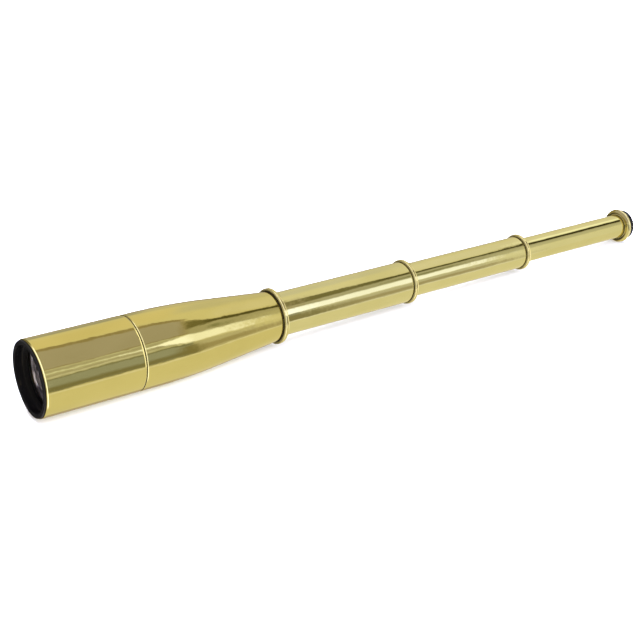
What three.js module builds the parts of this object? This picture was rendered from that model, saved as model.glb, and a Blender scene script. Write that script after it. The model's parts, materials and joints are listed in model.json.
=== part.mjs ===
// Collapsible brass spyglass with three draws, drawn out and lying on a table.
// Units are millimetres, +Z is up and +X runs from the objective to the eyepiece.
// Every piece is turned on a lathe, so a piece is an outline [along, radius] swept about the optical axis.
// "Along" is measured from the front rim on the barrel, and from the bead a tube slides out of on a draw.

import * as THREE from 'three';

// Driving dimensions of the barrel
const BARREL_RADIUS = 18;
const BARREL_WALL = 0.6;
const SEAM_AT = 47.2;
const SHOULDER_AT = 54;
const CONE_ANGLE = THREE.MathUtils.degToRad(6.1);
const NECK_AT = 123.2;
const NECK_RADIUS = 12.5;

// Driving dimensions of the draws, from the widest to the narrowest
const DRAW_PITCH = 82;
const DRAW_RADII = [10.85, 8.95, 6.9];
const DRAW_WALLS = [0.5, 0.5, 0.6];
const BUSH_LENGTHS = [17, 13, 9];
const BEAD_RADII = [14, 11.8, 10.05];
const BEAD_LENGTH = 3.1;
const COLLAR_FLANGE = 2.5;
const COLLAR_SPIGOT = 4.5;
const COLLAR_WALL = 0.45;

// Driving dimensions of the glass and the two ends
const OBJECTIVE_RADIUS = 15.3;
const LENS_LIP = 0.3;
const MOUTH_PROUD = 0.9;
const CELL_END = 20;
const SMALL_LENS_RADIUS = 4.9;
const SMALL_CELL_WALL = 0.8;
const EYEPIECE_RING_RADIUS = 9.8;
const EYEPIECE_RING_END = 2.9;
const EYECUP_RADIUS = 8.6;
const EYECUP_END = 6.3;
const EYE_HOLE_RADIUS = 4;

// Clearance between neighbouring pieces, and how finely each piece is turned
const GAP = 0.3;
const OUTER_FACETS = 40;
const INNER_FACETS = 24;
const ARC_STEPS = 5;

const brass = { color: 0xc9b04c, roughness: 0.18, metalness: 1 };
const blackened = { color: 0x141414, roughness: 0.5, metalness: 0.3 };
const blackPlastic = { color: 0x0d0d0d, roughness: 0.3, metalness: 0 };
const sleeveCloth = { color: 0x2a2622, roughness: 0.9, metalness: 0 };
const glass = { color: 0xd8dce8, roughness: 0.02, metalness: 0 };

// Turns an outline about the axis. The facets straddle the lowest point, so the piece rests on a flat.
function turned(name, outline, finish, facets) {
  const points = outline.map(([along, radius]) => new THREE.Vector2(radius, along));
  const onAxis = points[0].x === 0;
  if (!onAxis) points.push(points[0].clone());
  const half = Math.PI / facets;
  const geometry = new THREE.LatheGeometry(points, facets, half, 2 * Math.PI);
  const mesh = new THREE.Mesh(geometry, new THREE.MeshStandardMaterial(finish));
  mesh.name = name;
  mesh.rotation.z = -Math.PI / 2;
  return mesh;
}

// Outline of a plain ring or tube, listed so that its faces point outwards.
function ring(start, end, inner, outer) {
  return [[start, inner], [start, outer], [end, outer], [end, inner]];
}

// Radius of a lens face's curve above its edge plane, at one height from the axis.
function sagAt(height, curve) {
  return curve - Math.sqrt(curve * curve - height * height);
}

// Outline of a lens between two spherical faces. A positive bulge swells out of the edge, a negative one
// hollows it, and each bulge is a radius of curvature. A bulge of 0 is a flat face.
function lens(start, end, radius, frontBulge, rearBulge) {
  const steps = 3;
  const face = (edge, bulge, outward, fromAxis) => {
    const points = [];
    for (let i = 0; i <= steps; i += 1) {
      const height = radius * (fromAxis ? i : steps - i) / steps;
      const curve = Math.abs(bulge);
      const swell = bulge === 0 ? 0 : sagAt(radius, curve) - sagAt(height, curve);
      points.push([edge + outward * Math.sign(bulge) * swell, height]);
    }
    return bulge === 0 ? [points[0], points[steps]] : points;
  };
  return [...face(start, frontBulge, -1, true), ...face(end, rearBulge, 1, false)];
}

// Outer radius of the barrel: a cylinder, a long rounded shoulder, then a straight cone to the neck.
const coneRun = NECK_AT - SHOULDER_AT;
const shoulderCurve = (coneRun * Math.tan(CONE_ANGLE) - (BARREL_RADIUS - NECK_RADIUS))
  / (Math.sin(CONE_ANGLE) * Math.tan(CONE_ANGLE) - (1 - Math.cos(CONE_ANGLE)));

function barrelOutline() {
  const points = [[SEAM_AT + GAP, BARREL_RADIUS]];
  for (let i = 0; i <= ARC_STEPS; i += 1) {
    const turn = CONE_ANGLE * i / ARC_STEPS;
    const along = SHOULDER_AT + shoulderCurve * Math.sin(turn);
    points.push([along, BARREL_RADIUS - shoulderCurve * (1 - Math.cos(turn))]);
  }
  points.push([NECK_AT, NECK_RADIUS]);
  return points;
}

function objectiveSleeve() {
  const bore = BARREL_RADIUS - BARREL_WALL;
  return turned('objective_sleeve', ring(0, SEAM_AT, bore, BARREL_RADIUS), brass, OUTER_FACETS);
}

function mainBarrel() {
  const outside = barrelOutline();
  const inside = outside.map(([along, radius]) => [along, radius - BARREL_WALL]).reverse();
  return turned('main_barrel', [...outside, ...inside], brass, OUTER_FACETS);
}

// Threaded ring that joins the sleeve to the barrel behind the seam
function barrelCoupling() {
  const outer = BARREL_RADIUS - BARREL_WALL - GAP;
  const reach = 5;
  const outline = ring(SEAM_AT - reach, SEAM_AT + reach, outer - 1, outer);
  return turned('barrel_coupling', outline, brass, INNER_FACETS);
}

// Black ring at the mouth: a flange over the sleeve's rim, a skirt inside it and a flared bore
function objectiveRetainingRing() {
  const skirt = BARREL_RADIUS - BARREL_WALL - GAP;
  const flange = BARREL_RADIUS - 0.5;
  const bore = OBJECTIVE_RADIUS - LENS_LIP;
  const mouth = 16.4;
  const skirtEnd = 5.4;
  const outline = [
    [-MOUTH_PROUD, mouth], [-MOUTH_PROUD, flange], [-GAP, flange], [-GAP, skirt],
    [skirtEnd, skirt], [skirtEnd, bore], [1.5, bore],
  ];
  return turned('objective_retaining_ring', outline, blackPlastic, OUTER_FACETS);
}

// Cell, two lens elements and the thin ring that keeps them apart
function objectiveGroup() {
  const cellOuter = BARREL_RADIUS - BARREL_WALL - GAP;
  const cellBore = OBJECTIVE_RADIUS + GAP;
  const shoulder = 15.2;
  const cell = [
    [5.7, cellBore], [5.7, cellOuter], [CELL_END, cellOuter],
    [CELL_END, 14.4], [shoulder, 14.4], [shoulder, cellBore],
  ];
  const crown = lens(6, 8.9, OBJECTIVE_RADIUS, 90, 70);
  const spacer = ring(9.2, 9.8, OBJECTIVE_RADIUS - 0.7, OBJECTIVE_RADIUS);
  const flint = lens(10.1, 14.9, OBJECTIVE_RADIUS, -70, 0);
  return [
    turned('objective_cell', cell, blackened, INNER_FACETS),
    turned('objective_crown_lens', crown, glass, INNER_FACETS),
    turned('objective_spacer', spacer, blackened, INNER_FACETS),
    turned('objective_flint_lens', flint, glass, INNER_FACETS),
  ];
}

// Light stop behind the shoulder, wide enough for the collapsed draws to pass
function barrelBaffle() {
  const outline = ring(60, 61, 12.8, BARREL_RADIUS - BARREL_WALL - 2 * GAP);
  return turned('barrel_baffle', outline, blackened, INNER_FACETS);
}

// Turned bead at a tube's rear end: a flat front flank, a rounded crest and a small step behind it
function bead(name, crest, bore) {
  const outline = [
    [GAP, bore], [GAP, crest - 0.3], [0.7, crest], [1.8, crest], [2.4, crest - 0.5],
    [2.4, bore + 0.7], [BEAD_LENGTH, bore + 0.5], [BEAD_LENGTH, bore],
  ];
  return turned(name, outline, brass, OUTER_FACETS);
}

// Lining that a draw slides in, in the rear end of the tube around it
function bush(index, tubeBore) {
  const bore = DRAW_RADII[index] + GAP;
  const outline = ring(-BUSH_LENGTHS[index], -GAP, bore, tubeBore - GAP);
  return turned(`draw_${index + 1}_bush`, outline, sleeveCloth, INNER_FACETS);
}

// Collar screwed into a draw's front end. Its flange meets the bush, so the draw can't pull out.
function stopCollar(index, tubeBore) {
  const bore = DRAW_RADII[index] - DRAW_WALLS[index] - GAP;
  const flangeEnd = -BUSH_LENGTHS[index] - GAP;
  const flangeStart = flangeEnd - COLLAR_FLANGE;
  const flange = tubeBore - GAP - 0.05;
  const inner = bore - COLLAR_WALL;
  const outline = [
    [flangeStart, inner], [flangeStart, flange], [flangeEnd, flange],
    [flangeEnd, bore], [flangeEnd + COLLAR_SPIGOT, bore], [flangeEnd + COLLAR_SPIGOT, inner],
  ];
  return turned(`draw_${index + 1}_stop_collar`, outline, brass, INNER_FACETS);
}

function drawTube(index) {
  const start = -BUSH_LENGTHS[index];
  const bore = DRAW_RADII[index] - DRAW_WALLS[index];
  const outline = ring(start, DRAW_PITCH, bore, DRAW_RADII[index]);
  return turned(`draw_tube_${index + 1}`, outline, brass, OUTER_FACETS);
}

// Two lenses and a stop in a cell at the front of the last draw, which turn the picture upright
function erectorGroup() {
  const cellBore = SMALL_LENS_RADIUS + GAP;
  const cell = [
    [-4, cellBore], [-4, cellBore + SMALL_CELL_WALL], [28, cellBore + SMALL_CELL_WALL],
    [28, 4.2], [26, 4.2], [26, cellBore],
  ];
  const spacerBore = SMALL_LENS_RADIUS - 0.6;
  return [
    turned('erector_cell', cell, blackened, INNER_FACETS),
    turned('erector_retaining_ring', ring(-3.7, -2, spacerBore, SMALL_LENS_RADIUS), blackened, INNER_FACETS),
    turned('erector_front_lens', lens(-1.1, 0.9, SMALL_LENS_RADIUS, 25, 25), glass, INNER_FACETS),
    turned('erector_spacer', ring(1.8, 21.8, spacerBore, SMALL_LENS_RADIUS), blackened, INNER_FACETS),
    turned('erector_stop', ring(11.4, 12.2, 1.8, spacerBore - GAP), blackened, INNER_FACETS),
    turned('erector_rear_lens', lens(22.7, 24.7, SMALL_LENS_RADIUS, 25, 25), glass, INNER_FACETS),
  ];
}

// Eyepiece tube in the rear of the last draw, with its lenses, spacers and field stop
function eyepieceOptics() {
  const tubeBore = SMALL_LENS_RADIUS + GAP;
  const spacerBore = SMALL_LENS_RADIUS - 0.6;
  const mount = [
    [-28, 4.2], [-28, tubeBore + SMALL_CELL_WALL], [EYEPIECE_RING_END, tubeBore + SMALL_CELL_WALL],
    [EYEPIECE_RING_END, tubeBore], [-26, tubeBore], [-26, 4.2],
  ];
  return [
    turned('eyepiece_mount', mount, blackened, INNER_FACETS),
    turned('field_lens', lens(-24.9, -22.7, SMALL_LENS_RADIUS, 25, 0), glass, INNER_FACETS),
    turned('eyepiece_front_spacer', ring(-22.4, -14.4, spacerBore, SMALL_LENS_RADIUS), blackened, INNER_FACETS),
    turned('field_stop', ring(-14.1, -13.3, 3.4, SMALL_LENS_RADIUS), blackened, INNER_FACETS),
    turned('eyepiece_rear_spacer', ring(-13, -3.2, spacerBore, SMALL_LENS_RADIUS), blackened, INNER_FACETS),
    turned('eye_lens', lens(-2.3, 0.5, SMALL_LENS_RADIUS, 20, 0), glass, INNER_FACETS),
    turned('eye_lens_retaining_ring', ring(0.8, 2.2, spacerBore, SMALL_LENS_RADIUS), blackened, INNER_FACETS),
  ];
}

// Wide rounded brass ring that ends the last draw
function eyepieceRing() {
  const bore = SMALL_LENS_RADIUS + SMALL_CELL_WALL + 2 * GAP;
  const crest = EYEPIECE_RING_RADIUS;
  const outline = [
    [GAP, bore], [GAP, crest - 2], [0.5, crest - 1.2], [0.9, crest - 0.45], [1.5, crest], [2.1, crest],
    [2.6, crest - 0.25], [EYEPIECE_RING_END, crest - 0.7], [EYEPIECE_RING_END, bore],
  ];
  return turned('eyepiece_ring', outline, brass, OUTER_FACETS);
}

// Black cup the eye is held to, dished towards its small hole
function eyecup() {
  const start = EYEPIECE_RING_END + GAP;
  const outline = [
    [start, EYE_HOLE_RADIUS], [start, EYECUP_RADIUS], [5.7, EYECUP_RADIUS], [EYECUP_END, EYECUP_RADIUS - 0.5],
    [EYECUP_END, EYECUP_RADIUS - 1.5], [5.3, EYE_HOLE_RADIUS],
  ];
  return turned('eyecup', outline, blackPlastic, OUTER_FACETS);
}

// The barrel and the draws nest as they slide: each draw hangs on the one around it.
const barrel = new THREE.Group();
barrel.add(objectiveSleeve(), mainBarrel(), barrelCoupling(), objectiveRetainingRing());
barrel.add(...objectiveGroup(), barrelBaffle());

let carrier = barrel;
let station = NECK_AT;
let tubeBore = NECK_RADIUS - BARREL_WALL;
const ends = [];
for (let index = 0; index < DRAW_RADII.length; index += 1) {
  const draw = new THREE.Group();
  draw.position.x = station;
  const beadName = index === 0 ? 'barrel_end_ring' : `draw_${index}_end_ring`;
  draw.add(bead(beadName, BEAD_RADII[index], DRAW_RADII[index] + GAP));
  draw.add(bush(index, tubeBore), stopCollar(index, tubeBore), drawTube(index));
  carrier.add(draw);
  ends.push(draw);
  carrier = draw;
  station = DRAW_PITCH;
  tubeBore = DRAW_RADII[index] - DRAW_WALLS[index];
}
const lastDraw = ends[ends.length - 1];
lastDraw.add(...erectorGroup());

const eyeEnd = new THREE.Group();
eyeEnd.position.x = DRAW_PITCH;
eyeEnd.add(...eyepieceOptics(), eyepieceRing(), eyecup());
lastDraw.add(eyeEnd);

// It lies on the barrel's shoulder and the eyepiece ring, so the eye end dips by a small angle.
const flat = Math.cos(Math.PI / OUTER_FACETS);
const crestAlong = NECK_AT + DRAW_RADII.length * DRAW_PITCH + 1.8;
const slopes = barrelOutline().map(([along, radius]) => (
  (radius - EYEPIECE_RING_RADIUS) * flat / (crestAlong - along)
));
const spyglass = new THREE.Group();
spyglass.add(barrel);
spyglass.rotation.y = Math.atan(Math.max(...slopes));

// The origin is under the middle, on the surface it lies on.
spyglass.updateMatrixWorld(true);
const bounds = new THREE.Box3().setFromObject(spyglass, true);
const middle = bounds.getCenter(new THREE.Vector3());
spyglass.position.set(-middle.x, 0, -bounds.min.z);

export default spyglass;
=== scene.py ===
import json
import math

import bpy
import numpy as np
from mathutils import Euler, Matrix, Vector


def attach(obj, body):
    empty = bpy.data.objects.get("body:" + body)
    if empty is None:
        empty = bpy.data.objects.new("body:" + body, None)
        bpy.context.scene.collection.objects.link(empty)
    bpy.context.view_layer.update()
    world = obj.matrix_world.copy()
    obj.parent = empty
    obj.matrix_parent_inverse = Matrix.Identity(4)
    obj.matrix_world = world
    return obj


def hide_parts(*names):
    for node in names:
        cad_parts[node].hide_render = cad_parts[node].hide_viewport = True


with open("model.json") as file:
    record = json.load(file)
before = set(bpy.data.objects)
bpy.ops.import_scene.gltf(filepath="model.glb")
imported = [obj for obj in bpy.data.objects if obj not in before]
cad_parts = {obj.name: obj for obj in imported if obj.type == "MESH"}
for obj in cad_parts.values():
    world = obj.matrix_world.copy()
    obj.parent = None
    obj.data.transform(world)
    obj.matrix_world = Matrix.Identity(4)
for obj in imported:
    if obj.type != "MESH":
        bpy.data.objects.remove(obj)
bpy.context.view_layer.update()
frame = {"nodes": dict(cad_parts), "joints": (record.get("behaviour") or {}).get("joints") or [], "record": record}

MM = 0.001


# --- Camera ---------------------------------------------------------------------------------------
# It stands at the objective end, to the left of the tube and above the table, and looks down along it.
# Heading is turned from +Y towards +X, and the lens is in millimetres on a 36 mm wide film.

CAMERA_PLACE = (-0.34187, -0.43962, 0.26023)
CAMERA_HEADING = math.radians(35.0)
CAMERA_DOWN = math.radians(25.32)
LENS = 66.16

camera = bpy.data.objects.new("camera", bpy.data.cameras.new("camera"))
camera.data.sensor_width = 36
camera.data.lens = LENS
camera.data.clip_start = 0.01
camera.location = CAMERA_PLACE
camera.rotation_euler = Euler((math.pi / 2 - CAMERA_DOWN, 0, -CAMERA_HEADING))
bpy.context.scene.collection.objects.link(camera)
bpy.context.scene.camera = camera
bpy.context.scene.view_settings.view_transform = "Standard"


# --- Table and light ------------------------------------------------------------------------------
# A plain white table in a white light tent. Polished brass shows the tent itself, so the tent has what
# a real one has: a grey card overhead, a strip lamp, and the dark gap that the camera looks in through.

TABLE_HALF = 6.0
TABLE_WHITE = (0.92, 0.92, 0.92, 1)
LAMP_SIZE = 1.6
LAMP_POWER = 62


def add(tree, kind, inputs=(), **settings):
    """Adds a shader node, sets its settings, then fills its inputs with numbers or with other sockets."""
    node = tree.nodes.new(kind)
    for key, value in settings.items():
        setattr(node, key, value)
    for key, value in dict(inputs).items():
        if isinstance(value, bpy.types.NodeSocket):
            tree.links.new(value, node.inputs[key])
        else:
            node.inputs[key].default_value = value
    return node


def calculate(tree, operation, *values):
    return add(tree, "ShaderNodeMath", enumerate(values), operation=operation).outputs[0]


def ramp_up(tree, value, start, end):
    """0 before start and 1 after end, with a smooth rise between. It falls where end is before start."""
    inputs = {"Value": value, "From Min": start, "From Max": end}
    return add(tree, "ShaderNodeMapRange", inputs, interpolation_type="SMOOTHSTEP").outputs[0]


world = bpy.data.worlds.new("photo_tent")
bpy.context.scene.world = world
world.use_nodes = True
sky = world.node_tree
sky.nodes.clear()
towards = add(sky, "ShaderNodeSeparateXYZ", {0: add(sky, "ShaderNodeTexCoord").outputs["Generated"]})
along_tube = towards.outputs["X"]
steepness = calculate(sky, "ARCTAN2", towards.outputs["Z"], towards.outputs["Y"])
round_tube = calculate(sky, "WRAP", calculate(sky, "MULTIPLY", steepness, 180 / math.pi), 320, -40)
tent_colour = (1.0, 1.0, 1.0, 1)


def tent_patch(edges, reach, colour, blur=3, fade=0.02, lean=(0, 0), middle=0.45):
    """Lays one patch over the tent's wall. Its edges are in degrees round the tube, from the horizon behind
    it at 0, over the top at 90 and the near horizon at 180, to the table below at 270. Its reach along the
    tube is a pair of cosines to +X. Each edge may lean by some degrees for each unit away from the middle."""
    global tent_colour
    masks = []
    for edge, slope, width in ((edges[0], lean[0], blur), (edges[1], lean[1], -blur)):
        shift = calculate(sky, "MULTIPLY_ADD", along_tube, -slope, slope * middle)
        masks.append(ramp_up(sky, calculate(sky, "ADD", round_tube, shift), edge - width, edge + width))
    for edge, width in ((reach[0], fade), (reach[1], -fade)):
        masks.append(ramp_up(sky, along_tube, edge - width, edge + width))
    mask = masks[0]
    for other in masks[1:]:
        mask = calculate(sky, "MULTIPLY", mask, other)
    mix = add(sky, "ShaderNodeMix", {0: mask, 6: tent_colour, 7: (*colour, 1)}, data_type="RGBA")
    tent_colour = mix.outputs[2]


# Back wall and the two edges of the table, where the cloth sags into shade
tent_patch((-60, 5), (-2, 2), (0.55, 0.53, 0.50), blur=6)
tent_patch((5, 24), (-2, 2), (0.86, 0.86, 0.90), blur=5)
tent_patch((4, 19), (-2, 0.41), (0.55, 0.58, 0.72), blur=4)
tent_patch((30, 75), (-2, 0.5), (1.02, 0.98, 0.90), blur=12, fade=0.05)
tent_patch((294, 340), (-2, 0.42), (0.58, 0.52, 0.56), blur=5, fade=0.03)
tent_patch((306, 340), (-2, 2), (0.62, 0.57, 0.52), blur=5)

# Ridge of the tent over the right half, with a dark join, and the slopes on each side of it
tent_patch((25, 62), (0.50, 0.61), (0.88, 0.90, 1.05), blur=10, fade=0.03)
tent_patch((45, 100), (0.62, 2), (1.04, 1.05, 1.22), blur=8, fade=0.03)
tent_patch((74, 96), (0.69, 2), (1.38, 1.48, 1.75), blur=4, fade=0.01)
tent_patch((112, 146), (0.523, 2), (0.60, 0.61, 0.68), blur=4, fade=0.02)
tent_patch((128, 138), (0.60, 0.645), (0.36, 0.38, 0.32), blur=3, fade=0.02)
tent_patch((100, 125), (0.525, 0.60), (0.25, 0.24, 0.15), blur=3, fade=0.02, lean=(90, -80), middle=0.55)
tent_patch((106.5, 117.5), (0.59, 0.70), (0.15, 0.14, 0.06), blur=2.5, fade=0.01)
tent_patch((128, 150), (0.67, 2), (0.74, 0.76, 0.82), blur=8, fade=0.02)
tent_patch((98, 118), (0.685, 2), (0.07, 0.06, 0.01), blur=3, fade=0.01)

# Grey card hung overhead, with its thick lower edge in shade, and the front slope beside it
tent_patch((136, 167), (-2, 0.50), (0.73, 0.77, 0.94), blur=1.5, fade=0.02)
tent_patch((138.5, 142), (-2, 0.47), (0.84, 0.90, 1.20), blur=1.5)
tent_patch((144, 148), (-2, 0.42), (0.62, 0.64, 0.80), blur=1.5)
tent_patch((156.5, 160), (-2, 0.45), (0.62, 0.64, 0.80), blur=1)
tent_patch((150.5, 153), (-2, 0.46), (1.10, 1.20, 1.75), blur=1.2)
tent_patch((161, 164), (-2, 0.41), (0.88, 0.92, 1.30), blur=1)
tent_patch((81.8, 140), (-2, 0.530), (0.45, 0.40, 0.34), blur=1.5, fade=0.02, lean=(89, 0))
tent_patch((89.7, 138), (-2, 0.515), (0.587, 0.58, 0.80), blur=1.5, fade=0.02, lean=(70, 0))

# Strip lamp in front, which tapers to the left, and its glow
tent_patch((143.5, 168), (0.50, 0.665), (1.50, 1.64, 2.65), blur=4, fade=0.02)
tent_patch((148, 158.5), (-2, 0.53), (1.75, 1.95, 3.50), blur=2, fade=0.02, lean=(-80, 110))

# Gap that the camera looks in through, dark beyond, with the white edge of the table under it
tent_patch((170, 206), (0.53, 0.665), (0.76, 0.77, 0.90), blur=4, fade=0.02)
tent_patch((152, 206), (0.66, 2), (1.02, 1.04, 1.12), blur=8, fade=0.02)
tent_patch((184, 201), (0.53, 0.66), (0.55, 0.52, 0.50), blur=4, fade=0.03)
tent_patch((168, 203), (-2, 0.525), (0.48, 0.54, 0.76), blur=1.5, fade=0.01)
tent_patch((166, 169.5), (-2, 0.46), (0.34, 0.36, 0.37), blur=1.2, fade=0.01)
tent_patch((166, 170.5), (0.44, 0.525), (0.34, 0.36, 0.37), blur=1.2, fade=0.01, lean=(70, 70))
tent_patch((189, 203), (-2, 0.525), (0.32, 0.32, 0.28), blur=5, fade=0.01)
tent_patch((176, 203), (0.480, 0.54), (0.34, 0.32, 0.24), blur=4, fade=0.03)
tent_patch((206, 210), (-2, 0.67), (1.12, 1.14, 1.50), blur=1.5, fade=0.03)

# Lamps past both ends, which the camera sees in the rolled lips and rounded beads, with the back wall
# dark below each of them, and the dark left end
tent_patch((-60, 340), (0.80, 0.965), (2.3, 2.4, 3.4), blur=1, fade=0.02)
tent_patch((-58, 50), (0.77, 2), (0.14, 0.14, 0.12), blur=8, fade=0.03)
tent_patch((-58, 50), (-0.12, 0.27), (0.14, 0.14, 0.12), blur=8, fade=0.03)
tent_patch((60, 250), (-0.10, 0.26), (2.5, 2.7, 4.8), blur=10, fade=0.03)
tent_patch((302, 356), (-0.85, -0.12), (0.08, 0.08, 0.08), blur=6, fade=0.08)
tent_patch((-58, -4), (-0.85, -0.12), (0.08, 0.08, 0.08), blur=6, fade=0.08)

tent = add(sky, "ShaderNodeBackground", {"Color": tent_colour})
plain = add(sky, "ShaderNodeBackground", {"Color": (1, 1, 1, 1), "Strength": 1.0})
seen = add(sky, "ShaderNodeLightPath").outputs["Is Camera Ray"]
choice = add(sky, "ShaderNodeMixShader", {0: seen, 1: tent.outputs[0], 2: plain.outputs[0]})
add(sky, "ShaderNodeOutputWorld", {"Surface": choice.outputs[0]})

for name, place in (("overhead_lamp", (0.2, 0.5, 1.6)), ("front_lamp", (-0.5, -1.7, 0.9))):
    lamp = bpy.data.objects.new(name, bpy.data.lights.new(name, "AREA"))
    lamp.data.size = LAMP_SIZE
    lamp.data.energy = LAMP_POWER
    lamp.location = place
    lamp.rotation_euler = Vector(place).to_track_quat("Z", "Y").to_euler()
    lamp.visible_glossy = False
    lamp.visible_camera = False
    bpy.context.scene.collection.objects.link(lamp)


def new_object(name, vertices, faces):
    mesh = bpy.data.meshes.new(name)
    mesh.from_pydata([tuple(v) for v in vertices], [], faces)
    mesh.update()
    piece = bpy.data.objects.new(name, mesh)
    bpy.context.scene.collection.objects.link(piece)
    return piece


table_top = -0.06 * MM
corners = [(-1, -1), (1, -1), (1, 1), (-1, 1)]
table_corners = [(x * TABLE_HALF, y * TABLE_HALF, table_top) for x, y in corners]
table = new_object("table", table_corners, [(0, 1, 2, 3)])
table_paint = bpy.data.materials.new("white_table")
table_paint.use_nodes = True
table_shader = table_paint.node_tree.nodes["Principled BSDF"]
table_shader.inputs["Base Color"].default_value = TABLE_WHITE
table_shader.inputs["Roughness"].default_value = 0.9
table_shader.inputs["Specular IOR Level"].default_value = 0.0
table.data.materials.append(table_paint)
table.visible_glossy = False


# --- Front sleeve ---------------------------------------------------------------------------------
# The front half of the barrel: drawn brass tube, turned true, polished and lacquered. Its two ends are
# rolled over slightly, which leaves a bright lip at the mouth and at the seam.

axis = Vector(frame["joints"][0]["axis"]).normalized()
on_axis = Vector(frame["joints"][0]["pos_m"])
dip = math.asin(-axis.z)
FACETS = 192
HOLD = 0.05 * MM

body_of = {node: body for body, nodes in frame["record"]["behaviour"]["bodies"].items() for node in nodes}


def rings_of(node):
    """The turned CAD piece as rows of (along, radius), one for each vertex, from the axis of the tube."""
    points = np.array([tuple(v.co) for v in frame["nodes"][node].data.vertices]) - np.array(on_axis)
    along = points @ np.array(axis)
    radius = np.linalg.norm(points - np.outer(along, np.array(axis)), axis=1)
    return np.stack([along, radius], axis=1)


def size_of(node):
    """Where a turned piece starts and ends along the tube, and its smallest and largest radius."""
    rings = rings_of(node)
    return rings[:, 0].min(), rings[:, 0].max(), rings[:, 1].min(), rings[:, 1].max()


def soften(corners, steps=6):
    """Rounds an outline. Each corner is (along, radius, cut), and the cut is how far the curve reaches. A
    ring just outside each curve keeps the long walls shaded straight up to it."""
    outline = []
    for index, (along, radius, cut) in enumerate(corners):
        here = Vector((along, radius))
        if cut == 0:
            outline.append(here)
            continue
        back = Vector(corners[index - 1][:2]) - here
        onward = Vector(corners[(index + 1) % len(corners)][:2]) - here
        start = here + back.normalized() * min(cut, back.length * 0.48)
        end = here + onward.normalized() * min(cut, onward.length * 0.48)
        outline.append(start + back.normalized() * min(HOLD, back.length * 0.01))
        for step in range(steps + 1):
            s = step / steps
            outline.append(start * (1 - s) ** 2 + here * 2 * s * (1 - s) + end * s ** 2)
        outline.append(end + onward.normalized() * min(HOLD, onward.length * 0.01))
    return outline


def turn(name, outline, material, facets=FACETS, crevice_shade=()):
    """Sweeps an outline about the axis into one closed piece. An outline that ends on the axis stays open.
    The last argument lists the corners that are painted dark as shade, each (along, radius, reach), kept as an
    attribute of the mesh."""
    side = Vector((0, 1, 0))
    up = axis.cross(side)
    vertices, rows, shade_level = [], [], []
    for along, radius in outline:
        centre = on_axis + axis * along
        # Painted shade: each ring's weight falls off with its distance from the nearest listed corner.
        near = [max(0, 1 - math.hypot(along - at, radius - out) / reach) for at, out, reach in crevice_shade]
        shade_level.extend([max(near, default=0)] * (1 if radius < 1e-7 else facets))
        if radius < 1e-7:
            rows.append([len(vertices)] * facets)
            vertices.append(centre)
            continue
        rows.append(range(len(vertices), len(vertices) + facets))
        for step in range(facets):
            angle = 2 * math.pi * step / facets
            vertices.append(centre + (side * math.cos(angle) + up * math.sin(angle)) * radius)
    closed = min(radius for _, radius in outline) > 1e-7
    pairs = list(zip(rows, rows[1:] + rows[:1])) if closed else list(zip(rows, rows[1:]))
    faces = []
    for near, far in pairs:
        for step in range(facets):
            following = (step + 1) % facets
            corners = [near[step], near[following], far[following], far[step]]
            faces.append(tuple(dict.fromkeys(corners)))
    piece = new_object(name, vertices, faces)
    mesh = piece.data
    volume = sum(mesh.vertices[p.vertices[0]].co.dot(p.normal) * p.area for p in mesh.polygons)
    if volume < 0:
        mesh.flip_normals()
    mesh.attributes.new("crevice_shade", "FLOAT", "POINT").data.foreach_set("value", shade_level)
    mesh.shade_smooth()
    mesh.set_sharp_from_angle(angle=math.radians(35))
    mesh.materials.append(material)
    return piece


def stand_for(piece, node):
    """The piece is the finished form of that CAD node: the node is hidden and the piece goes on its body."""
    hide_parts(node)
    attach(piece, body_of[node])


def tube_coordinates(tree, stretch):
    """Object coordinates turned so that X runs along the tube, then stretched."""
    place = add(tree, "ShaderNodeTexCoord").outputs["Object"]
    turned = add(tree, "ShaderNodeMapping", {"Vector": place, "Rotation": (0, -dip, 0)})
    return add(tree, "ShaderNodeMapping", {"Vector": turned.outputs[0], "Scale": stretch}).outputs[0]


BRASS_EDGE_TINT = (0.94, 0.90, 0.74, 1)
# Near-black colour that corners and flanks are painted with as shade.
PAINTED_SHADE = (0.014, 0.010, 0.004, 1)
MOTTLE = (30, 60, 60)
# Grain of the noise that breaks up the edge of the painted shade.
SHADE_GRAIN = (500, 500, 500)
SMUDGES = (90, 120, 120)
SWELL = (70, 160, 160)


def noise(tree, vector, scale, detail=3.0):
    inputs = {"Vector": vector, "Scale": scale, "Detail": detail}
    return add(tree, "ShaderNodeTexNoise", inputs).outputs[0]


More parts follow.
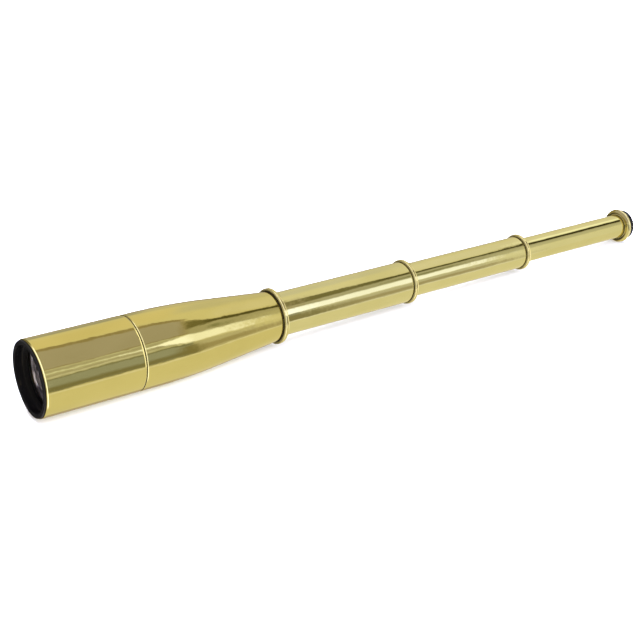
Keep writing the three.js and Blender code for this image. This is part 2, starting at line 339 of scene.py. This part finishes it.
def polished_brass(name, dull, bright, lines, line_depth):
    """Lacquered brass between two shades. Lines is the stretch of its polishing marks, and line_depth is
    how deep they are. Where the mesh attribute is high, it is painted near-black, matt and non-metallic as shade."""
    material = bpy.data.materials.new(name)
    material.use_nodes = True
    tree = material.node_tree
    shader = tree.nodes["Principled BSDF"]
    shader.inputs["Specular Tint"].default_value = BRASS_EDGE_TINT
    shader.inputs["Specular IOR Level"].default_value = 0.1

    mottle = noise(tree, tube_coordinates(tree, MOTTLE), 1.0)
    shades = {0: ramp_up(tree, mottle, 0.3, 0.7), 6: (*dull, 1), 7: (*bright, 1)}
    colours = add(tree, "ShaderNodeMix", shades, data_type="RGBA")
    # Painted shade: the mesh attribute, broken up by fine noise, mixes the brass towards near-black, rough and
    # non-metallic.
    shade_level = add(tree, "ShaderNodeAttribute", attribute_name="crevice_shade").outputs["Fac"]
    patchy = noise(tree, tube_coordinates(tree, SHADE_GRAIN), 1.0)
    crevice_shade = ramp_up(tree, calculate(tree, "MULTIPLY_ADD", patchy, 0.25, shade_level), 0.2, 0.75)
    shaded_colours = add(tree, "ShaderNodeMix", {0: crevice_shade, 6: colours.outputs[2], 7: PAINTED_SHADE}, data_type="RGBA")
    marks = noise(tree, tube_coordinates(tree, lines), 1.0, 2.0)
    smudge = ramp_up(tree, noise(tree, tube_coordinates(tree, SMUDGES), 1.0, 5.0), 0.52, 0.72)
    dulled = calculate(tree, "MULTIPLY_ADD", smudge, 0.04, 0.045)
    rough = calculate(tree, "MULTIPLY_ADD", marks, 0.03, dulled)
    rougher = calculate(tree, "MULTIPLY_ADD", crevice_shade, 0.35, rough)
    swell = noise(tree, tube_coordinates(tree, SWELL), 1.0)
    waves = add(tree, "ShaderNodeBump", {"Height": swell, "Strength": 0.5, "Distance": 0.0002})
    fine = {"Height": marks, "Strength": line_depth, "Distance": 0.00002, "Normal": waves.outputs[0]}
    bump = add(tree, "ShaderNodeBump", fine)
    tree.links.new(shaded_colours.outputs[2], shader.inputs["Base Color"])
    tree.links.new(calculate(tree, "SUBTRACT", 1.0, crevice_shade), shader.inputs["Metallic"])
    tree.links.new(rougher, shader.inputs["Roughness"])
    tree.links.new(bump.outputs[0], shader.inputs["Normal"])
    return material


BARREL_DULL = (0.580, 0.478, 0.138)
BARREL_BRIGHT = (0.620, 0.512, 0.154)
MARKS_ALONG_BARREL = (10, 900, 900)
barrel_brass = polished_brass("barrel_brass", BARREL_DULL, BARREL_BRIGHT, MARKS_ALONG_BARREL, 0.2)


def rolled_edge(at, radius, width, slope, taper=0):
    """The two outer corners of a tube's rear end, whose edge is rolled in by an angle over its last width."""
    rise = width * math.tan(taper)
    drop = width * math.tan(taper + slope)
    return [(at - width, radius + rise, width / 4), (at, radius + rise - drop, width / 6)]


start, end, bore, outer = size_of("objective_sleeve")
lip = 0.55 * MM
ROLLED = 0.75 * MM
SLEEVE_ROLL = math.radians(19)
sleeve_corners = [
    (start, bore, 0.2 * MM), (start, outer, 1.5 * lip), *rolled_edge(end, outer, ROLLED, SLEEVE_ROLL),
    (end, bore, 0.1 * MM),
]
# Painted shade: the inner corner of the sleeve's rear end, at the seam, is darkened.
seam_shade = [(end, bore, 0.7 * MM)]
sleeve = turn("front_sleeve", soften(sleeve_corners), barrel_brass, crevice_shade=seam_shade)
stand_for(sleeve, "objective_sleeve")


# --- Tapered barrel -------------------------------------------------------------------------------
# The rear half of the barrel, spun down over a former: a short cylinder, a long rounded shoulder and a
# straight cone to the neck. It is polished and lacquered in one with the sleeve.

rings = rings_of("main_barrel")
stations = np.unique(rings[:, 0].round(6))
outside = [rings[abs(rings[:, 0] - at) < 1e-5, 1].max() for at in stations]
wall = outside[0] - rings[abs(rings[:, 0] - stations[0]) < 1e-5, 1].min()
cone_angle = math.atan((outside[-2] - outside[-1]) / (stations[-1] - stations[-2]))
shoulder_curve = (stations[-2] - stations[1]) / math.sin(cone_angle)
SHOULDER_STEPS = 40
NECK_ROLL = math.radians(10)

skin = [(stations[0], outside[0], 1.1 * lip)]
for step in range(SHOULDER_STEPS + 1):
    bend = cone_angle * step / SHOULDER_STEPS
    drop = shoulder_curve * (1 - math.cos(bend))
    skin.append((stations[1] + shoulder_curve * math.sin(bend), outside[0] - drop, 0))
lining = [(along, radius - wall, cut / 5) for along, radius, cut in reversed(skin)]
lining.insert(0, (stations[-1], outside[-1] - wall, 0))
skin += rolled_edge(stations[-1], outside[-1], 1.2 * ROLLED, NECK_ROLL, taper=cone_angle)
# Painted shade: the inner corners at both ends of the barrel are darkened.
ends_shade = [(stations[0], outside[0] - wall, 0.7 * MM), (stations[-1], outside[-1] - wall, 0.6 * MM)]
barrel = turn("tapered_barrel", soften(skin + lining), barrel_brass, crevice_shade=ends_shade)
stand_for(barrel, "main_barrel")


# --- Black mouth ring -----------------------------------------------------------------------------
# The ring that holds the objective in: moulded in glossy black, with a flange over the sleeve's rim, a
# step a little way in, and fine ridges from there down to the lens, which stop stray light.

WARM_GLOSS = (1.0, 0.88, 0.50, 1)


def black_moulding(name, gloss, grain):
    material = bpy.data.materials.new(name)
    material.use_nodes = True
    tree = material.node_tree
    shader = tree.nodes["Principled BSDF"]
    shader.inputs["Specular IOR Level"].default_value = 0.22
    shader.inputs["Specular Tint"].default_value = WARM_GLOSS
    speckle = noise(tree, tube_coordinates(tree, (grain, grain, grain)), 1.0, 4.0)
    colours = add(tree, "ShaderNodeMix", {0: speckle}, data_type="RGBA")
    colours.inputs[6].default_value = (0.0018, 0.0016, 0.0017, 1)
    colours.inputs[7].default_value = (0.0050, 0.0046, 0.0048, 1)
    rough = calculate(tree, "MULTIPLY_ADD", speckle, 0.12, gloss)
    bump = add(tree, "ShaderNodeBump", {"Height": speckle, "Strength": 0.15, "Distance": 0.00003})
    tree.links.new(colours.outputs[2], shader.inputs["Base Color"])
    tree.links.new(rough, shader.inputs["Roughness"])
    tree.links.new(bump.outputs[0], shader.inputs["Normal"])
    return material


gloss_black = black_moulding("gloss_black", 0.07, 1500)

start, end, bore, outer = size_of("objective_retaining_ring")
rim_start, _, rim_bore, _ = size_of("objective_sleeve")
CLEARANCE = 0.3 * MM
skirt = rim_bore - CLEARANCE
flange_end = rim_start - CLEARANCE
mouth = bore + 0.6 * MM
step_at = start + 3.6 * MM
mouth_corners = [
    (start, mouth, 0.3 * MM), (start, outer, 0.25 * MM), (flange_end, outer, 0.1 * MM),
    (flange_end, skirt, 0), (end, skirt, 0.1 * MM), (end, bore, 0.35 * MM),
    (step_at, bore, 0.4 * MM), (step_at, mouth, 0.1 * MM),
]
mouth_ring = turn("mouth_ring", soften(mouth_corners), gloss_black)
stand_for(mouth_ring, "objective_retaining_ring")


def ridge_tree():
    """Rings of a small round ridge, side by side along X, for what is turned as fine rings round a tube."""
    tree = bpy.data.node_groups.new("turned_ridges", "GeometryNodeTree")
    tree.interface.new_socket("Geometry", in_out="INPUT", socket_type="NodeSocketGeometry")
    for name, kind in (("Radius", "Float"), ("Ridge", "Float"), ("Pitch", "Float"), ("Count", "Int"),
                       ("Finish", "Material")):
        tree.interface.new_socket(name, in_out="INPUT", socket_type="NodeSocket" + kind)
    tree.interface.new_socket("Geometry", in_out="OUTPUT", socket_type="NodeSocketGeometry")
    given = add(tree, "NodeGroupInput").outputs
    path = add(tree, "GeometryNodeCurvePrimitiveCircle", {"Resolution": FACETS, "Radius": given["Radius"]})
    profile = add(tree, "GeometryNodeCurvePrimitiveCircle", {"Resolution": 8, "Radius": given["Ridge"]})
    swept = {"Curve": path.outputs[0], "Profile Curve": profile.outputs[0]}
    tube = add(tree, "GeometryNodeCurveToMesh", swept)
    quarter_turn = {"Geometry": tube.outputs[0], "Rotation": (0, math.pi / 2, 0)}
    upright = add(tree, "GeometryNodeTransform", quarter_turn)
    stride = add(tree, "ShaderNodeCombineXYZ", {"X": given["Pitch"]}).outputs[0]
    row = add(tree, "GeometryNodeMeshLine", {"Count": given["Count"], "Offset": stride})
    placed = {"Points": row.outputs[0], "Instance": upright.outputs[0]}
    copies = add(tree, "GeometryNodeInstanceOnPoints", placed)
    smooth = add(tree, "GeometryNodeSetShadeSmooth", {"Geometry": copies.outputs[0]})
    real = add(tree, "GeometryNodeRealizeInstances", {"Geometry": smooth.outputs[0]})
    painted = {"Geometry": real.outputs[0], "Material": given["Finish"]}
    finished = add(tree, "GeometryNodeSetMaterial", painted)
    add(tree, "NodeGroupOutput", {"Geometry": finished.outputs[0]})
    return tree


ridges_tree = ridge_tree()


def ridges(name, at, radius, ridge, pitch, count, finish):
    """Places a row of ridges on the axis from the station at, and leaves them as a plain mesh."""
    maker = new_object(name + "_maker", [(0, 0, 0)], [])
    modifier = maker.modifiers.new("ridges", "NODES")
    modifier.node_group = ridges_tree
    given = {"Radius": radius, "Ridge": ridge, "Pitch": pitch, "Count": count, "Finish": finish}
    for socket in ridges_tree.interface.items_tree:
        if socket.in_out == "INPUT" and socket.name in given:
            modifier[socket.identifier] = given[socket.name]
    evaluated = maker.evaluated_get(bpy.context.evaluated_depsgraph_get())
    mesh = bpy.data.meshes.new_from_object(evaluated)
    bpy.data.objects.remove(maker)
    mesh.transform(Matrix.Translation(on_axis + axis * at) @ Matrix.Rotation(dip, 4, "Y"))
    piece = bpy.data.objects.new(name, mesh)
    bpy.context.scene.collection.objects.link(piece)
    return piece


RIDGE = 0.12 * MM
RIDGE_PITCH = 0.55 * MM
first_ridge = step_at + 0.8 * MM
ridge_count = int((end - first_ridge) / RIDGE_PITCH)
light_trap = ridges("mouth_ring_ridges", first_ridge, bore, RIDGE, RIDGE_PITCH, ridge_count, gloss_black)
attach(light_trap, body_of["objective_retaining_ring"])


# --- Beads ----------------------------------------------------------------------------------------
# A turned ring screwed on the rear end of the barrel and of the first two draws: a flat front flank, a
# rounded crest and a small step down to the next tube. The front flank and the inner corners are painted dark as
# shade.

BEAD_DULL = (0.60, 0.50, 0.17)
BEAD_BRIGHT = (0.65, 0.55, 0.20)
MARKS_ROUND_BEAD = (3000, 60, 60)
CREST_CUT = 0.7 * MM
REAR_STEP = 0.7 * MM
bead_brass = polished_brass("bead_brass", BEAD_DULL, BEAD_BRIGHT, MARKS_ROUND_BEAD, 0.3)

for name, node in (("barrel_bead", "barrel_end_ring"), ("first_bead", "draw_1_end_ring"),
                   ("second_bead", "draw_2_end_ring")):
    start, end, bore, outer = size_of(node)
    step_at = end - REAR_STEP
    bead_corners = [
        (start, bore, 0), (start, outer, CREST_CUT), (step_at, outer, CREST_CUT),
        (step_at, bore + 0.7 * MM, 0.1 * MM), (end, bore + 0.6 * MM, 0.3 * MM), (end, bore, 0.1 * MM),
    ]
    # Painted shade: the whole front flank, from its inner corner nearly to the crest, and the inner rear corner
    # are darkened.
    bead_shade = [(start, bore, 1.25 * (outer - bore)), (end, bore, 0.7 * MM)]
    stand_for(turn(name, soften(bead_corners), bead_brass, crevice_shade=bead_shade), node)


# --- Draw tubes -----------------------------------------------------------------------------------
# Three seamless brass tubes, each sliding in the one before. Years of sliding have left fine marks
# along them, and the rear end of each is rolled to a small lip.

DRAW_DULL = (0.620, 0.540, 0.200)
DRAW_BRIGHT = (0.665, 0.580, 0.228)
MARKS_ALONG_DRAW = (6, 1600, 1600)
DRAW_ROLL = math.radians(12)
draw_brass = polished_brass("draw_brass", DRAW_DULL, DRAW_BRIGHT, MARKS_ALONG_DRAW, 0.25)

for name, node in (("first_draw", "draw_tube_1"), ("second_draw", "draw_tube_2"),
                   ("third_draw", "draw_tube_3")):
    start, end, bore, outer = size_of(node)
    tube_corners = [(start, bore, 0), (start, outer, 0.1 * MM), *rolled_edge(end, outer, ROLLED, DRAW_ROLL),
                    (end, bore, 0)]
    # Painted shade: the inner corner of each draw's rear end is darkened.
    stand_for(turn(name, soften(tube_corners), draw_brass, crevice_shade=[(end, bore, 0.5 * MM)]), node)


# --- Eye end --------------------------------------------------------------------------------------
# A wide brass ring with a rounded front, and behind it the glossy black cup that the eye is held to,
# dished to its small hole.

start, end, bore, outer = size_of("eyepiece_ring")
BULGE_STEPS = 10
front_foot = outer - 2.5 * MM
front_reach = 1.4 * MM
rear_reach = 0.9 * MM
rear_drop = 1.1 * MM
ring_outline = [(start, bore), (start, front_foot - 0.1 * MM)]
for step in range(BULGE_STEPS + 1):
    sweep = math.pi / 2 * step / BULGE_STEPS
    rise = (outer - front_foot) * math.sin(sweep)
    ring_outline.append((start + 0.05 * MM + front_reach * (1 - math.cos(sweep)), front_foot + rise))
for step in range(BULGE_STEPS + 1):
    sweep = math.pi / 2 * step / BULGE_STEPS
    fall = rear_drop * (1 - math.cos(sweep))
    ring_outline.append((end - rear_reach * (1 - math.sin(sweep)), outer - fall))
ring_outline.append((end, bore))
# Painted shade: the ring's front flank, down to the tube, is darkened.
ring_shade = [(start, bore, front_foot - bore + 0.25 * MM)]
stand_for(turn("eye_ring", ring_outline, bead_brass, crevice_shade=ring_shade), "eyepiece_ring")

start, end, bore, outer = size_of("eyecup")
CUP_PROUD = 0.1 * MM
CUP_RIM = 1.6 * MM
CUP_FLOOR = 0.9 * MM
cup_corners = [
    (start, bore, 0.2 * MM), (start, outer + CUP_PROUD, 0.1 * MM), (end, outer + CUP_PROUD, 0.6 * MM),
    (end, outer - CUP_RIM, 0.5 * MM), (start + CUP_FLOOR, bore, 0.25 * MM),
]
stand_for(turn("eye_cup", soften(cup_corners), gloss_black), "eyecup")


# --- Glass ----------------------------------------------------------------------------------------
# Ground and polished lenses with a thin violet coating. The objective is a crown and a flint element;
# the erector has two small lenses and so has the eyepiece.

def coated_glass():
    material = bpy.data.materials.new("coated_glass")
    material.use_nodes = True
    tree = material.node_tree
    shader = tree.nodes["Principled BSDF"]
    shader.inputs["Transmission Weight"].default_value = 1.0
    shader.inputs["IOR"].default_value = 1.52
    shader.inputs["Thin Film Thickness"].default_value = 140.0
    shader.inputs["Thin Film IOR"].default_value = 1.38
    dust = noise(tree, tube_coordinates(tree, (400, 400, 400)), 1.0, 6.0)
    rough = calculate(tree, "MULTIPLY", ramp_up(tree, dust, 0.62, 0.8), 0.12)
    colours = add(tree, "ShaderNodeMix", {0: dust}, data_type="RGBA")
    colours.inputs[6].default_value = (0.93, 0.95, 0.97, 1)
    colours.inputs[7].default_value = (0.98, 0.97, 1.0, 1)
    tree.links.new(colours.outputs[2], shader.inputs["Base Color"])
    tree.links.new(rough, shader.inputs["Roughness"])
    return material


glass = coated_glass()
LENS_STEPS = 16


def lens_outline(node):
    """A lens's two faces as circular arcs through the middle and the edge of the CAD lens's faces."""
    rings = rings_of(node)
    edge = rings[:, 1].max()
    at_edge = rings[rings[:, 1] > edge - 1e-5, 0]
    on_centre = rings[rings[:, 1] < 1e-5, 0]
    faces = []
    for pole, rim in ((on_centre.min(), at_edge.min()), (on_centre.max(), at_edge.max())):
        points = []
        for step in range(LENS_STEPS + 1):
            height = edge * step / LENS_STEPS
            points.append((pole + (rim - pole) * (height / edge) ** 2, height))
        faces.append(points)
    return faces[0] + faces[1][::-1]


for name, node in (("crown_element", "objective_crown_lens"), ("flint_element", "objective_flint_lens"),
                   ("first_erector", "erector_front_lens"), ("second_erector", "erector_rear_lens"),
                   ("field_element", "field_lens"), ("eye_element", "eye_lens")):
    stand_for(turn(name, lens_outline(node), glass), node)


# --- Cells and stops ------------------------------------------------------------------------------
# Blackened aluminium turnings inside the tubes: the cells that the lenses sit in, the rings that space
# and hold them, and the stops that keep stray light out.

cell_black = black_moulding("cell_black", 0.35, 900)

for node in ("objective_spacer", "barrel_baffle", "erector_retaining_ring", "erector_spacer", "erector_stop",
             "eyepiece_front_spacer", "field_stop", "eyepiece_rear_spacer", "eye_lens_retaining_ring"):
    start, end, bore, outer = size_of(node)
    cut = 0.1 * MM
    plain_corners = [(start, bore, cut), (start, outer, cut), (end, outer, cut), (end, bore, cut)]
    stand_for(turn(node + "_turned", soften(plain_corners, 2), cell_black, 96), node)


def cell_corners(node, seat_first):
    """A cell with a seat for its lens at one end: the seat is the narrow part of the bore."""
    rings = rings_of(node)
    start, end, seat, outer = size_of(node)
    bore = np.unique(rings[:, 1].round(6))[1]
    inner = rings[abs(rings[:, 1] - seat) < 1e-5, 0]
    cut = 0.15 * MM
    if seat_first:
        return [(start, seat, cut), (start, outer, cut), (end, outer, cut), (end, bore, cut),
                (inner.max(), bore, 0), (inner.max(), seat, cut)]
    return [(start, bore, cut), (start, outer, cut), (end, outer, cut), (end, seat, cut),
            (inner.min(), seat, cut), (inner.min(), bore, 0)]


for name, node, seat_first in (("objective_cell_turned", "objective_cell", False),
                               ("erector_cell_turned", "erector_cell", False),
                               ("eyepiece_tube", "eyepiece_mount", True)):
    stand_for(turn(name, soften(cell_corners(node, seat_first), 2), cell_black, 128), node)


# --- Coupling, stop collars and linings -----------------------------------------------------------
# The coupling joins the sleeve to the barrel behind the seam. A collar on the hidden end of each draw
# meets its lining, a flocked sleeve that makes the draw slide with a soft, even drag.

start, end, bore, outer = size_of("barrel_coupling")
coupling_corners = [(start, bore, lip), (start, outer, lip), (end, outer, lip), (end, bore, lip)]
stand_for(turn("coupling", soften(coupling_corners), bead_brass), "barrel_coupling")

for index in (1, 2, 3):
    node = f"draw_{index}_stop_collar"
    rings = rings_of(node)
    start, end, bore, outer = size_of(node)
    spigot = np.unique(rings[:, 1].round(6))[1]
    flange_end = rings[rings[:, 1] > outer - 1e-5, 0].max()
    collar_corners = [
        (start, bore, 0.2 * MM), (start, outer, 0.3 * MM), (flange_end, outer, 0.2 * MM),
        (flange_end, spigot, 0), (end, spigot, 0.15 * MM), (end, bore, 0.1 * MM),
    ]
    stand_for(turn(f"collar_{index}", soften(collar_corners, 3), bead_brass, 128), node)

flock = black_moulding("flock", 0.7, 4000)
for index in (1, 2, 3):
    node = f"draw_{index}_bush"
    start, end, bore, outer = size_of(node)
    lining_corners = [(start, bore, 0), (start, outer, 0), (end, outer, 0), (end, bore, 0)]
    stand_for(turn(f"lining_{index}", soften(lining_corners), flock, 96), node)
